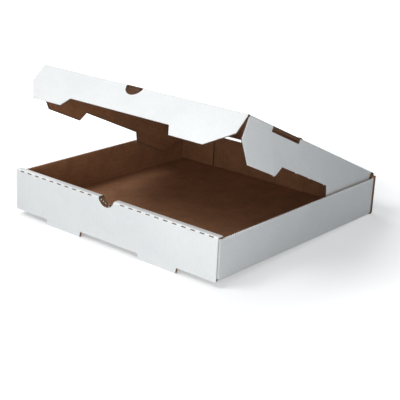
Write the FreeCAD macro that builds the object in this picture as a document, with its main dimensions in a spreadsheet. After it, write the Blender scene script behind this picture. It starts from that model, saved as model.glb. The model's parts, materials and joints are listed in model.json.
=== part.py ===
import FreeCAD, Part
import math
import os

import Sketcher

# Pizza box for a 12 inch pizza, die cut and folded from one sheet of corrugated board, white outside and
# brown inside. The tray is folded and locked. The lid and its three flaps still swing on their creases.
# Frame: millimetres, X to the right along the front wall, Y to the rear, +Z up. The origin is under the
# middle of the tray, level with the soles of the two feet of the front wall.

SIZES = (
    ("board", 3.0),  # thickness of the corrugated board
    ("box_width", 312.0),  # tray outside, left to right
    ("box_depth", 312.0),  # tray outside, front to rear
    ("side_height", 47.5),  # side walls, above the underside of the floor
    ("front_height", 50.5),  # rolled over front wall, above the underside of the floor
    ("crease_height", 51.0),  # crease of the lid in the rear wall, above the underside of the floor
    ("shoulder_height", 49.0),  # rear wall at its two ends, beside the lid's crease
    ("fold_radius", 2.4),  # outside of the bottom folds
    ("roll_radius", 2.2),  # outside of the two folds on top of the front wall
    ("layer_gap", 0.2),  # air between boards that are folded onto each other
    ("foot_drop", 6.8),  # feet of the front wall, below the underside of the floor
    ("foot_width", 57.0),
    ("foot_inset", 54.0),  # from the side of the tray to the foot
    ("foot_lean", 1.6),  # how much each side of a foot slants inwards
    ("lock_clearance", 0.8),  # lock tabs of the inner front panel in their floor slots
    ("tab_length", 56.0),  # corner tabs, from the inside of the side wall
    ("tab_height", 43.0),  # corner tabs, above the floor
    ("tab_lift", 0.6),  # corner tabs clear of the floor
    ("grip_radius", 12.35),  # finger notch in the front wall and finger hole in the lid
    ("grip_depth", 9.9),
    ("grip_offset", 4.5),  # notch, hole and the front flap's recess, from the middle to the left
    ("dash_pitch", 12.7),  # perforated folds: a cut of about 6 mm in every 12.7 mm
    ("dash_length", 6.3),
    ("dash_width", 0.9),
    ("dash_depth", 1.3),
    ("dash_margin", 8.0),  # from the end of the fold to the first cut
    ("side_clearance", 0.3),  # lid flaps inside the side walls, when folded
    ("front_clearance", 7.0),  # closed lid's front fold behind the front wall
    ("fold_gap", 0.3),  # round nose of a crease to the hollow around it
    ("fold_relief", 50.0),  # degrees, bevel beside a crease that lets it fold through a right angle
    ("tuck_relief", 61.0),  # the same at the side flaps, which are pushed further in to tuck them
    ("lid_open", 24.2),  # degrees, lid above level
    ("front_fold", 64.0),  # degrees, front flap folded down from the lid
    ("right_fold", 91.0),  # degrees, right flap folded down from the lid
    ("left_fold", 90.6),  # degrees, left flap folded down from the lid
    ("flap_depth", 49.0),  # lid flaps, from the outside of the lid to the free edge
    ("flap_end", 26.0),  # square part of a flap's end
    ("front_bevel", 24.5),  # how far the bevel below it runs inwards on the front flap
    ("side_bevel", 28.0),  # the same on a side flap
    ("flap_recess", 12.0),  # shallower middle of the free edge
    ("recess_run", 7.6),  # slope at each end of the recess
    ("front_land", 46.0),  # deep part of the front flap's free edge, each side of the recess
    ("side_land", 57.0),  # the same on a side flap
    ("corner_clearance", 0.6),  # side flap's front end behind the folded front flap
    ("crease_clearance", 6.0),  # side flap's rear end in front of the lid's crease
    ("vent_inset", 50.5),  # from the corner to a vent slot
    ("vent_length", 58.5),
    ("vent_drop", 5.2),  # vent slot in a side flap, below the middle of the crease
    ("rear_vent_drop", 5.2),  # the same in the rear wall
)

HALF_WIDTH = "Dim.box_width / 2"
HALF_DEPTH = "Dim.box_depth / 2"
FLOOR_UNDER = "Dim.foot_drop"
FLOOR_TOP = "(Dim.foot_drop + Dim.board)"
INSIDE_X = "(Dim.box_width / 2 - Dim.board)"
FRONT_TOP = "(Dim.foot_drop + Dim.front_height)"
CREASE_Z = "(Dim.foot_drop + Dim.crease_height)"
CREASE_Y = "(Dim.box_depth / 2 - Dim.board / 2)"
# Depth of the front wall from its outside: outer panel, corner tab and inner panel with a little air.
FRONT_LAYERS = "(3 * Dim.board + 2 * Dim.layer_gap)"
# Creases of the lid: half its width, and its reach from the rear crease to the front one.
LID_HALF = "(Dim.box_width / 2 - 3 * Dim.board / 2 - Dim.side_clearance)"
LID_REACH = "(Dim.box_depth - Dim.board - 3 * Dim.board - 2 * Dim.layer_gap - Dim.front_clearance)"
# Bevel beside a crease, and the hollow that its neighbour turns in.
BEVEL = "(Dim.board / 2 * tan(Dim.fold_relief * 1 deg))"
TUCK_BEVEL = "(Dim.board / 2 * tan(Dim.tuck_relief * 1 deg))"
HOLLOW = "(Dim.board / 2 + Dim.fold_gap)"
GRIP_HALF = "sqrt(2 * Dim.grip_radius * Dim.grip_depth - Dim.grip_depth ^ 2)"

doc = FreeCAD.newDocument("pizza_box")


def make_sheet():
    """Fill the spreadsheet: one row for each size, with its name and its value."""
    sheet = doc.addObject("Spreadsheet::Sheet", "Dim")
    for row, (alias, value) in enumerate(SIZES, start=1):
        sheet.set(f"A{row}", alias)
        sheet.set(f"B{row}", str(value))
        sheet.setAlias(f"B{row}", alias)
    doc.recompute()
    return sheet


def value_of(formula):
    """Value of a formula over the sheet, in millimetres or plain."""
    found = dim.evalExpression(formula.replace("Dim.", ""))
    return float(getattr(found, "Value", found))


def new_body(label):
    body = doc.addObject("PartDesign::Body", label)
    body.Label = label
    return body


def new_sketch(body, name, role, lift="0"):
    """Empty sketch on one of the body's own planes, lifted along the plane's normal."""
    sketch = body.newObject("Sketcher::SketchObject", name)
    plane = next(item for item in body.Origin.OriginFeatures if item.Role == role)
    sketch.AttachmentSupport = (plane, [""])
    sketch.MapMode = "FlatFace"
    sketch.setExpression("AttachmentOffset.Base.z", lift)
    return sketch


def draw_outline(sketch, points):
    """Closed straight outline whose corners are pairs of formulas."""
    corners = [FreeCAD.Vector(value_of(across), value_of(up), 0) for across, up in points]
    first = sketch.GeometryCount
    count = len(points)
    for index, corner in enumerate(corners):
        sketch.addGeometry(Part.LineSegment(corner, corners[(index + 1) % count]))
    for index in range(count):
        following = (index + 1) % count
        sketch.addConstraint(Sketcher.Constraint("Coincident", first + index, 2, first + following, 1))
    for index, pair in enumerate(points):
        for kind, formula in zip(("DistanceX", "DistanceY"), pair):
            rule = Sketcher.Constraint(kind, -1, 1, first + index, 1, value_of(formula))
            sketch.setExpression(f"Constraints[{sketch.addConstraint(rule)}]", formula)


def draw_circle(sketch, across, up, radius):
    """Circle whose centre and radius are formulas."""
    centre = FreeCAD.Vector(value_of(across), value_of(up), 0)
    ring = sketch.addGeometry(Part.Circle(centre, FreeCAD.Vector(0, 0, 1), value_of(radius)))
    for kind, formula in (("DistanceX", across), ("DistanceY", up)):
        rule = Sketcher.Constraint(kind, -1, 1, ring, 3, value_of(formula))
        sketch.setExpression(f"Constraints[{sketch.addConstraint(rule)}]", formula)
    rule = Sketcher.Constraint("Radius", ring, value_of(radius))
    sketch.setExpression(f"Constraints[{sketch.addConstraint(rule)}]", radius)


def rectangle(left, right, low, high):
    return [(left, low), (right, low), (right, high), (left, high)]


def pad(body, sketch, length, side="One side"):
    feature = body.newObject("PartDesign::Pad", f"{sketch.Name}_pad")
    feature.Profile = sketch
    feature.SideType = side
    feature.setExpression("Length", length)
    doc.recompute()
    return feature


def pocket(body, sketch, length, side="Symmetric"):
    """Cut that has to take something away."""
    before = body.Shape.Volume
    feature = body.newObject("PartDesign::Pocket", f"{sketch.Name}_pocket")
    feature.Profile = sketch
    feature.SideType = side
    feature.setExpression("Length", length)
    doc.recompute()
    if body.Shape.Volume >= before:
        raise RuntimeError(f"{feature.Name} cuts nothing")
    return feature


def round_edges(body, name, radius, wanted):
    """Fillet on the straight edges whose middle the test accepts."""
    base = body.Tip
    names = [
        f"Edge{number}"
        for number, edge in enumerate(base.Shape.Edges, start=1)
        if wanted(edge.CenterOfMass, edge.tangentAt(edge.FirstParameter))
    ]
    feature = body.newObject("PartDesign::Fillet", name)
    feature.Base = (base, names)
    feature.setExpression("Radius", radius)
    doc.recompute()
    return feature


def dashes(body, cut, role, direction, span):
    """Repeat one perforation cut along its fold."""
    pattern = body.newObject("PartDesign::LinearPattern", f"{cut.Name}_row")
    pattern.Originals = [cut]
    axis = next(item for item in body.Origin.OriginFeatures if item.Role == role)
    pattern.Direction = (axis, [""])
    pattern.Reversed = direction < 0
    count = max(2, 1 + math.floor((value_of(span) - 2 * value_of("Dim.dash_margin")) / value_of("Dim.dash_pitch")))
    pattern.setExpression("Length", f"Dim.dash_pitch * {count - 1}")
    pattern.Occurrences = count
    doc.recompute()
    body.Tip = pattern
    return pattern


def near(found, wanted):
    return abs(found - wanted) < 0.01


def add_floor_and_sides(body):
    """Floor, and the two side walls folded up from it."""
    floor = new_sketch(body, "floor", "XY_Plane", FLOOR_UNDER)
    draw_outline(floor, rectangle(f"-{HALF_WIDTH}", HALF_WIDTH, f"-{HALF_DEPTH}", HALF_DEPTH))
    pad(body, floor, "Dim.board")
    reach = f"({HALF_DEPTH} - Dim.board - Dim.layer_gap)"
    walls = new_sketch(body, "side_walls", "XY_Plane", FLOOR_UNDER)
    draw_outline(walls, rectangle(f"-{HALF_WIDTH}", f"-{INSIDE_X}", f"-{reach}", reach))
    draw_outline(walls, rectangle(INSIDE_X, HALF_WIDTH, f"-{reach}", reach))
    pad(body, walls, "Dim.side_height")
    side = value_of(HALF_WIDTH)
    low = value_of(FLOOR_UNDER)
    round_edges(body, "side_folds", "Dim.fold_radius",
                lambda mid, way: near(abs(mid.x), side) and near(mid.z, low) and abs(way.y) > 0.9)


def add_corner_tabs(body):
    """Tabs at both ends of the side walls, folded in along the front and the rear wall."""
    inner_end = f"({INSIDE_X} - Dim.tab_length)"
    near_wall = f"({HALF_DEPTH} - Dim.board - Dim.layer_gap)"
    far_face = f"({HALF_DEPTH} - 2 * Dim.board - Dim.layer_gap)"
    tabs = new_sketch(body, "corner_tabs", "XY_Plane", f"{FLOOR_TOP} + Dim.tab_lift")
    for low, high in ((f"-{near_wall}", f"-{far_face}"), (far_face, near_wall)):
        draw_outline(tabs, rectangle(f"-{INSIDE_X}", f"-{inner_end}", low, high))
        draw_outline(tabs, rectangle(inner_end, INSIDE_X, low, high))
    pad(body, tabs, "Dim.tab_height")
    side = value_of(HALF_WIDTH)
    ends = value_of(near_wall)
    round_edges(body, "corner_folds", "Dim.fold_radius",
                lambda mid, way: near(abs(mid.x), side) and near(abs(mid.y), ends) and abs(way.z) > 0.9)


def add_rear_wall(body):
    """Rear wall: full width up to its shoulders, then the stretch that carries the lid's crease."""
    wall = new_sketch(body, "rear_wall", "XZ_Plane", f"-{HALF_DEPTH}")
    shoulder = "(Dim.foot_drop + Dim.shoulder_height)"
    neck = f"({LID_HALF} + Dim.board / 2)"
    draw_outline(wall, [
        (f"-{HALF_WIDTH}", FLOOR_UNDER), (HALF_WIDTH, FLOOR_UNDER), (HALF_WIDTH, shoulder), (neck, shoulder),
        (neck, CREASE_Z), (f"-{neck}", CREASE_Z), (f"-{neck}", shoulder), (f"-{HALF_WIDTH}", shoulder),
    ])
    pad(body, wall, "Dim.board")
    rear = value_of(HALF_DEPTH)
    low = value_of(FLOOR_UNDER)
    round_edges(body, "rear_fold", "Dim.fold_radius",
                lambda mid, way: near(mid.y, rear) and near(mid.z, low) and abs(way.x) > 0.9)
    bevels = new_sketch(body, "rear_crease_bevels", "YZ_Plane")
    draw_outline(bevels, [(CREASE_Y, CREASE_Z), (f"{CREASE_Y} + 2 * Dim.board", CREASE_Z),
                          (f"{CREASE_Y} + 2 * Dim.board", f"{CREASE_Z} - 4 * {BEVEL}")])
    draw_outline(bevels, [(CREASE_Y, CREASE_Z), (f"{CREASE_Y} - Dim.board", f"{CREASE_Z} - 2 * {BEVEL}"),
                          (f"{CREASE_Y} - Dim.board", CREASE_Z)])
    pocket(body, bevels, "Dim.box_width")
    nose = new_sketch(body, "rear_crease_nose", "YZ_Plane")
    draw_circle(nose, CREASE_Y, CREASE_Z, "Dim.board / 2")
    pad(body, nose, f"2 * {neck}", "Symmetric")
    vents = new_sketch(body, "rear_vents", "XZ_Plane", f"-{CREASE_Y}")
    for sign in ("-", ""):
        near_end = f"{sign}({HALF_WIDTH} - Dim.vent_inset)"
        far_end = f"{sign}({HALF_WIDTH} - Dim.vent_inset - Dim.vent_length)"
        low_edge = f"{CREASE_Z} - Dim.rear_vent_drop"
        draw_outline(vents, rectangle(far_end, near_end, low_edge, f"{CREASE_Z} + Dim.board"))
    pocket(body, vents, "2 * Dim.board")


def add_front_wall(body):
    """Front wall: outer panel on its two feet, roll-over strip, and inner panel locked into the floor."""
    outer = new_sketch(body, "front_outer_panel", "XZ_Plane", f"{HALF_DEPTH} - Dim.board")
    foot_out = f"({HALF_WIDTH} - Dim.foot_inset)"
    foot_in = f"({HALF_WIDTH} - Dim.foot_inset - Dim.foot_width)"
    draw_outline(outer, [
        (f"-{HALF_WIDTH}", FLOOR_UNDER), (f"-{foot_out}", FLOOR_UNDER),
        (f"-({foot_out} - Dim.foot_lean)", "0"), (f"-({foot_in} + Dim.foot_lean)", "0"),
        (f"-{foot_in}", FLOOR_UNDER), (foot_in, FLOOR_UNDER),
        (f"{foot_in} + Dim.foot_lean", "0"), (f"{foot_out} - Dim.foot_lean", "0"),
        (foot_out, FLOOR_UNDER), (HALF_WIDTH, FLOOR_UNDER),
        (HALF_WIDTH, FRONT_TOP), (f"-{HALF_WIDTH}", FRONT_TOP),
    ])
    pad(body, outer, "Dim.board")
    strip = new_sketch(body, "front_strip", "YZ_Plane")
    inside = f"(-{HALF_DEPTH} + {FRONT_LAYERS})"
    draw_outline(strip, rectangle(f"-{HALF_DEPTH}", inside, f"{FRONT_TOP} - Dim.board", FRONT_TOP))
    pad(body, strip, "Dim.box_width", "Symmetric")
    front = value_of(f"-{HALF_DEPTH}")
    back = value_of(inside)
    top = value_of(FRONT_TOP)
    round_edges(body, "front_roll", "Dim.roll_radius",
                lambda mid, way: (near(mid.y, front) or near(mid.y, back)) and near(mid.z, top) and abs(way.x) > 0.9)
    inner = new_sketch(body, "front_inner_panel", "XZ_Plane", f"-{inside}")
    edge = f"({INSIDE_X} - Dim.layer_gap)"
    panel_top = f"{FRONT_TOP} - Dim.board"
    draw_outline(inner, rectangle(f"-{edge}", edge, f"{FLOOR_TOP} + Dim.layer_gap", panel_top))
    pad(body, inner, "Dim.board")


def add_floor_slots(body):
    """Slots that the feet leave in the floor, the lock tabs in them, and the finger notch."""
    foot_out = f"({HALF_WIDTH} - Dim.foot_inset)"
    foot_in = f"({HALF_WIDTH} - Dim.foot_inset - Dim.foot_width)"
    panel_back = f"(-{HALF_DEPTH} + {FRONT_LAYERS})"
    slots = new_sketch(body, "floor_slots", "XY_Plane", f"{FLOOR_UNDER} + Dim.board / 2")
    locks = new_sketch(body, "lock_tabs", "XY_Plane", FLOOR_UNDER)
    for sign in ("-", ""):
        ends = (f"{sign}{foot_in}", f"{sign}{foot_out}")
        draw_outline(slots, rectangle(*ends, f"-{HALF_DEPTH} + Dim.board", f"{panel_back} + Dim.layer_gap"))
        ends = (f"{sign}({foot_in} + Dim.lock_clearance)", f"{sign}({foot_out} - Dim.lock_clearance)")
        draw_outline(locks, rectangle(*ends, f"{panel_back} - Dim.board", panel_back))
    pocket(body, slots, "Dim.board")
    pad(body, locks, "Dim.board + Dim.layer_gap")
    cut = new_sketch(body, "front_dash", "XZ_Plane", HALF_DEPTH)
    first = f"(-{HALF_WIDTH} + Dim.dash_margin)"
    height = f"({FRONT_TOP} - Dim.roll_radius * 0.4)"
    draw_outline(cut, rectangle(first, f"{first} + Dim.dash_length", f"{height} - Dim.dash_width", height))
    cut = pocket(body, cut, "Dim.dash_depth * 2")
    dashes(body, cut, "X_Axis", 1, "Dim.box_width")
    notch = new_sketch(body, "finger_notch", "XZ_Plane", f"{HALF_DEPTH} - {FRONT_LAYERS} / 2")
    draw_circle(notch, "-Dim.grip_offset", f"{FRONT_TOP} - Dim.grip_depth + Dim.grip_radius", "Dim.grip_radius")
    pocket(body, notch, f"{FRONT_LAYERS} + Dim.board")


def make_tray():
    """Folded tray of one sheet: floor, side walls, corner tabs, rear wall and rolled over front wall."""
    body = new_body("tray")
    add_floor_and_sides(body)
    add_corner_tabs(body)
    add_rear_wall(body)
    add_front_wall(body)
    add_floor_slots(body)
    return body


def make_lid_panel():
    """Lid panel in its own frame: the rear crease is its X axis, and the panel runs along -Y."""
    body = new_body("lid_panel")
    sheet = new_sketch(body, "lid_sheet", "XY_Plane", "-Dim.board / 2")
    draw_outline(sheet, rectangle(f"-{LID_HALF}", LID_HALF, f"-{LID_REACH}", "0"))
    pad(body, sheet, "Dim.board")
    # Rear end: bevelled on both faces, with a hollow for the round nose of the rear wall.
    rear = new_sketch(body, "lid_rear_bevels", "YZ_Plane")
    draw_outline(rear, [("0", "0"), ("0", "Dim.board"), (f"-2 * {BEVEL}", "Dim.board")])
    draw_outline(rear, [("0", "0"), (f"-2 * {BEVEL}", "-Dim.board"), ("0", "-Dim.board")])
    pocket(body, rear, "Dim.box_width")
    hollow = new_sketch(body, "lid_rear_hollow", "YZ_Plane")
    draw_circle(hollow, "0", "0", HOLLOW)
    pocket(body, hollow, "Dim.box_width")
    # Front and side edges: bevelled underneath, with a round nose for the flaps to turn about.
    front = new_sketch(body, "lid_front_bevel", "YZ_Plane")
    draw_outline(front, [(f"-{LID_REACH}", "0"), (f"-{LID_REACH} + 2 * {BEVEL}", "-Dim.board"),
                         (f"-{LID_REACH}", "-Dim.board")])
    pocket(body, front, "Dim.box_width")
    sides = new_sketch(body, "lid_side_bevels", "XZ_Plane", f"{LID_REACH} / 2")
    draw_outline(sides, [(LID_HALF, "0"), (LID_HALF, "-Dim.board"),
                         (f"{LID_HALF} - 2 * {TUCK_BEVEL}", "-Dim.board")])
    draw_outline(sides, [(f"-{LID_HALF}", "0"), (f"-{LID_HALF} + 2 * {TUCK_BEVEL}", "-Dim.board"),
                         (f"-{LID_HALF}", "-Dim.board")])
    pocket(body, sides, "2 * Dim.box_depth")
    front_nose = new_sketch(body, "lid_front_nose", "YZ_Plane")
    draw_circle(front_nose, f"-{LID_REACH}", "0", "Dim.board / 2")
    pad(body, front_nose, f"2 * {LID_HALF}", "Symmetric")
    nose_start = f"({HOLLOW} + 2 * Dim.fold_gap)"
    side_nose = new_sketch(body, "lid_side_nose", "XZ_Plane", nose_start)
    draw_circle(side_nose, LID_HALF, "0", "Dim.board / 2")
    draw_circle(side_nose, f"-{LID_HALF}", "0", "Dim.board / 2")
    pad(body, side_nose, f"{LID_REACH} - {HOLLOW} - {nose_start}")
    add_lid_openings(body)
    # Perforations of the side folds, cut into the outer face just inside the fold.
    for sign, name in (("", "right"), ("-", "left")):
        cut = new_sketch(body, f"lid_{name}_dash", "XY_Plane", "Dim.board / 2")
        first = f"(-{LID_REACH} + Dim.dash_margin)"
        across = f"{sign}({LID_HALF} - Dim.board / 2)"
        draw_outline(cut, rectangle(f"{across} - Dim.dash_width / 2", f"{across} + Dim.dash_width / 2",
                                    first, f"{first} + Dim.dash_length"))
        dashes(body, pocket(body, cut, "Dim.dash_depth * 2"), "Y_Axis", 1, LID_REACH)
    return body


def add_lid_openings(body):
    """Square raw edges where the vent slots and the finger hole cut the creases away."""
    corner = f"({LID_REACH} + Dim.board / 2)"
    start = f"(-{corner} + Dim.vent_inset)"
    end = f"({start} + Dim.vent_length)"
    grip_left = f"(-Dim.grip_offset - {GRIP_HALF})"
    grip_right = f"(-Dim.grip_offset + {GRIP_HALF})"
    openings = new_sketch(body, "lid_openings", "XY_Plane")
    draw_outline(openings, rectangle(LID_HALF, f"{LID_HALF} + Dim.board", start, end))
    draw_outline(openings, rectangle(f"-{LID_HALF} - Dim.board", f"-{LID_HALF}", start, end))
    draw_outline(openings, rectangle(grip_left, grip_right, f"-{LID_REACH} - Dim.board", f"-{LID_REACH}"))
    pocket(body, openings, "2 * Dim.board")
    edges = new_sketch(body, "lid_raw_edges", "XY_Plane")
    margin = "Dim.board / 2"
    inner = f"{LID_HALF} - {TUCK_BEVEL}"
    span = (f"{start} + {margin}", f"{end} - {margin}")
    draw_outline(edges, rectangle(inner, LID_HALF, *span))
    draw_outline(edges, rectangle(f"-{LID_HALF}", f"-({inner})", *span))
    draw_outline(edges, rectangle(f"{grip_left} + {margin}", f"{grip_right} - {margin}",
                                  f"-{LID_REACH}", f"-{LID_REACH} + {BEVEL}"))
    pad(body, edges, "Dim.board", "Symmetric")


def bevel_crease(body, role, reach_sign, run, length):
    """Inner bevel and hollow along a flap's crease, which is an axis of the flap's own frame."""
    # The section is drawn across the crease: outwards from the crease, then up to the outer face.
    bevel = new_sketch(body, f"{body.Name}_bevel", role)
    out = f"{reach_sign}2 * {run}"
    draw_outline(bevel, [("0", "0"), ("0", "-Dim.board"), (out, "-Dim.board")])
    pocket(body, bevel, length)
    hollow = new_sketch(body, f"{body.Name}_hollow", role)
    draw_circle(hollow, "0", "0", HOLLOW)
    pocket(body, hollow, length)


def make_front_flap():
    """Front flap in its own frame: crease on the X axis, free edge along -Y, outer face up."""
    body = new_body("lid_front_flap")
    half = f"({LID_HALF} + Dim.board / 2)"
    free = "(Dim.flap_depth - Dim.board / 2)"
    square = "(Dim.flap_end - Dim.board / 2)"
    low = f"({half} - Dim.front_bevel)"
    recess = f"({low} - Dim.front_land)"
    inner = f"({recess} - Dim.recess_run)"
    middle = f"({free} - Dim.flap_recess)"
    steps = [(low, free), (recess, free), (inner, middle)]
    points = [(half, "0"), (half, f"-{square}")]
    points += [(f"{across} - Dim.grip_offset", f"-{down}") for across, down in steps]
    points += [(f"-{across} - Dim.grip_offset", f"-{down}") for across, down in reversed(steps)]
    points += [(f"-{half}", f"-{square}"), (f"-{half}", "0")]
    sheet = new_sketch(body, "front_flap_sheet", "XY_Plane", "-Dim.board / 2")
    draw_outline(sheet, points)
    pad(body, sheet, "Dim.board")
    bevel_crease(body, "YZ_Plane", "-", BEVEL, "Dim.box_width")
    hole = new_sketch(body, "finger_hole", "XY_Plane")
    draw_circle(hole, "-Dim.grip_offset", "-Dim.board / 2 - Dim.grip_depth + Dim.grip_radius", "Dim.grip_radius")
    pocket(body, hole, "2 * Dim.board")
    return body


def make_side_flap(label, sign):
    """Side flap in its own frame: crease on the Y axis, free edge along +X on the right, -X on the left."""
    body = new_body(label)
    free = "(Dim.flap_depth - Dim.board / 2)"
    square = "(Dim.flap_end - Dim.board / 2)"
    middle = f"({free} - Dim.flap_recess)"
    corner = f"({LID_REACH} + Dim.board / 2)"
    front = f"(-{corner} + Dim.board + Dim.corner_clearance)"
    rear = "(-Dim.crease_clearance)"
    front_low = f"(-{corner} + Dim.side_bevel)"
    front_recess = f"({front_low} + Dim.side_land)"
    rear_low = f"({rear} - Dim.side_bevel)"
    rear_recess = f"({rear_low} - Dim.side_land)"
    points = [
        ("0", front), (square, front), (free, front_low), (free, front_recess),
        (middle, f"{front_recess} + Dim.recess_run"), (middle, f"{rear_recess} - Dim.recess_run"),
        (free, rear_recess), (free, rear_low), (square, rear), ("0", rear),
    ]
    sheet = new_sketch(body, f"{label}_sheet", "XY_Plane", "-Dim.board / 2")
    draw_outline(sheet, [(f"{sign}{out}", along) for out, along in points])
    pad(body, sheet, "Dim.board")
    bevel_crease(body, "XZ_Plane", sign, TUCK_BEVEL, "3 * Dim.box_depth")
    vent = new_sketch(body, f"{label}_vent", "XY_Plane")
    start = f"(-{corner} + Dim.vent_inset)"
    draw_outline(vent, rectangle("0", f"{sign}Dim.vent_drop", start, f"{start} + Dim.vent_length"))
    pocket(body, vent, "2 * Dim.board")
    return body


def placement(base, axis, angle):
    return (f"create(<<placement>>; create(<<vector>>; {base}); "
            f"create(<<rotation>>; create(<<vector>>; {axis}); {angle}))")


def check_and_write(bodies):
    """Stop on any failed object or bad shape, then write one STEP file for each piece."""
    doc.recompute()
    for item in doc.Objects:
        if "Invalid" in item.State or "Error" in item.State:
            raise RuntimeError(f"{item.Name} failed: {item.State}")
    for body in bodies:
        if body.Shape.isNull() or not body.Shape.isValid() or len(body.Shape.Solids) != 1:
            raise RuntimeError(f"{body.Label} has no single valid solid")
    os.makedirs("parts", exist_ok=True)
    for body in bodies:
        body.Shape.exportStep(f"parts/{body.Label}.step")
        bounds = body.Shape.BoundBox
        print(f"{body.Label}: {body.Shape.Volume:.1f} mm3, {len(body.Shape.Faces)} faces, "
              f"x {bounds.XMin:.2f}..{bounds.XMax:.2f} y {bounds.YMin:.2f}..{bounds.YMax:.2f} "
              f"z {bounds.ZMin:.2f}..{bounds.ZMax:.2f}")


dim = make_sheet()
tray = make_tray()
lid = make_lid_panel()
front_flap = make_front_flap()
right_flap = make_side_flap("lid_right_flap", "")
left_flap = make_side_flap("lid_left_flap", "-")

# The lid swings up about its rear crease, and each flap turns down about its own crease in the lid.
swing = placement(f"0; {CREASE_Y}; {CREASE_Z}", "1; 0; 0", "-Dim.lid_open")
lid.setExpression("Placement", swing)
front_flap.setExpression("Placement", f"{swing} * " + placement(f"0; -{LID_REACH}; 0", "1; 0; 0", "Dim.front_fold"))
right_flap.setExpression("Placement", f"{swing} * " + placement(f"{LID_HALF}; 0; 0", "0; 1; 0", "Dim.right_fold"))
left_flap.setExpression("Placement", f"{swing} * " + placement(f"-{LID_HALF}; 0; 0", "0; 1; 0", "-Dim.left_fold"))

check_and_write([tray, lid, front_flap, right_flap, left_flap])
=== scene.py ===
"""Open pizza box of corrugated board: white clay coated liner outside, brown kraft liner inside."""

import json
import logging
import math
from dataclasses import dataclass, field
from enum import Enum
from functools import partial
from typing import Callable, Iterable, Sequence

import bpy
from mathutils import Matrix, Vector


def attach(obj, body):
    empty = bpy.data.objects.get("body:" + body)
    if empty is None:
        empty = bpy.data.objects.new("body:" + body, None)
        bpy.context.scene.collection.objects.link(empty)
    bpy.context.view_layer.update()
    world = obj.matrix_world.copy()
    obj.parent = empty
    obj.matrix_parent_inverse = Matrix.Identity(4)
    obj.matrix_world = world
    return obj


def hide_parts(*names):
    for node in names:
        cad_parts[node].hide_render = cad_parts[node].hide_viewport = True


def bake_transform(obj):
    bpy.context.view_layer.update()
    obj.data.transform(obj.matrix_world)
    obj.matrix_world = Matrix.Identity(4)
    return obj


MM = 0.001
X = Vector((1, 0, 0))
Y = Vector((0, 1, 0))
Z = Vector((0, 0, 1))
UPRIGHT = Matrix.Rotation(math.radians(90), 4, "X")  # local Z becomes -Y of the box
FACING = 0.15  # cosine from which a face looks the way that a liner's face looks
LEVEL = 0.01  # mm, heights that differ by less are the same
SIDES = ((1, "right"), (-1, "left"))

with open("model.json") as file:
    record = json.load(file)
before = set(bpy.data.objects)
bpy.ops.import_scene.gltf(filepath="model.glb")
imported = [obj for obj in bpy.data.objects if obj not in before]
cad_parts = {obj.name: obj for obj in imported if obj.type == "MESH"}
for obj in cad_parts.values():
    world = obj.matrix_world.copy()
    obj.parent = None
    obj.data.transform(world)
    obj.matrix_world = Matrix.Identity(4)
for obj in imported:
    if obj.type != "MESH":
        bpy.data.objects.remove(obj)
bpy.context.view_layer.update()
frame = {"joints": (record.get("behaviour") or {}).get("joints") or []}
log = logging.getLogger("pizza_box")


class Ply(Enum):
    """The three papers that the board is glued from."""

    OUTER = "outer_liner"
    INNER = "inner_liner"
    FLUTING = "fluting"


Mesh = bpy.types.Object
Plies = dict[Ply, Mesh]
Pair = tuple[float, float]  # point of a section, or the two ends of a span


@dataclass(frozen=True)
class Board:
    """B-flute board, in millimetres: liners glued on both sides of a corrugated medium."""

    thickness: float = 3.0
    liner: float = 0.34
    medium: float = 0.26
    pitch: float = 6.4
    steps: int = 10  # straight runs that draw one flute

    @property
    def half(self) -> float:
        """Distance from the middle of the board to its face."""
        return self.thickness / 2

    @property
    def swing(self) -> float:
        """Height of a flute above the middle of the board."""
        return self.half - self.liner - self.medium / 2

    def wave(self, along: float) -> float:
        """Offset of the corrugated medium from the middle, at a distance across the flutes."""
        return self.swing * math.sin(2 * math.pi * along / self.pitch)

    def samples(self, low: float, high: float) -> list[float]:
        """Evenly spaced places across the flutes, close enough to draw each flute round."""
        count = max(1, round((high - low) / self.pitch * self.steps))
        return [low + (high - low) * step / count for step in range(count + 1)]


@dataclass(frozen=True)
class Teeth:
    """Serrated cutting rule, in millimetres, with eight teeth to the inch."""

    pitch: float = 3.175
    depth: float = 1.7
    reach: float = 5.0  # how far below the edge the liner gives way to a tooth
    steps: int = 6
    shortest_side: float = 100.0

    def bite(self, along: float, gap: float) -> float:
        """How far a tooth moves the paper down, at a place along the edge and a gap below it."""
        return self.depth * (1 - gap / self.reach) * abs(math.sin(math.pi * along / self.pitch))


BOARD = Board()
TEETH = Teeth()


def linear(code: str) -> tuple[float, float, float, float]:
    """Turn an sRGB value, six hex digits after a hash sign, to a linear colour with an alpha of 1."""
    parts = [int(code[place:place + 2], 16) / 255 for place in (1, 3, 5)]
    return (*[part / 12.92 if part <= 0.04045 else ((part + 0.055) / 1.055) ** 2.4 for part in parts], 1.0)


def add_node(tree: bpy.types.NodeTree, kind: str, inputs: dict, out: int | str = 0,
             **settings: object) -> bpy.types.NodeSocket | None:
    """Add one shader node to a tree, with its settings and its links.

    Args:
        tree: Node tree of a material or of the world.
        kind: Type name of the node, after the word ShaderNode.
        inputs: Values or sockets for the named or numbered inputs.
        out: Output that is used.
        **settings: Properties of the node itself.

    Returns:
        The output, or None where the node has none.
    """
    node = tree.nodes.new(f"ShaderNode{kind}")
    for key, value in settings.items():
        setattr(node, key, value)
    for key, value in inputs.items():
        if isinstance(value, bpy.types.NodeSocket):
            tree.links.new(value, node.inputs[key])
        else:
            node.inputs[key].default_value = value
    return node.outputs[out] if node.outputs else None


def bare_tree(owner: bpy.types.Material | bpy.types.World) -> bpy.types.NodeTree:
    """Empty node tree of a new material or world.

    Args:
        owner: Material or world.

    Returns:
        Its tree.
    """
    owner.use_nodes = True
    owner.node_tree.nodes.clear()
    return owner.node_tree


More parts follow.
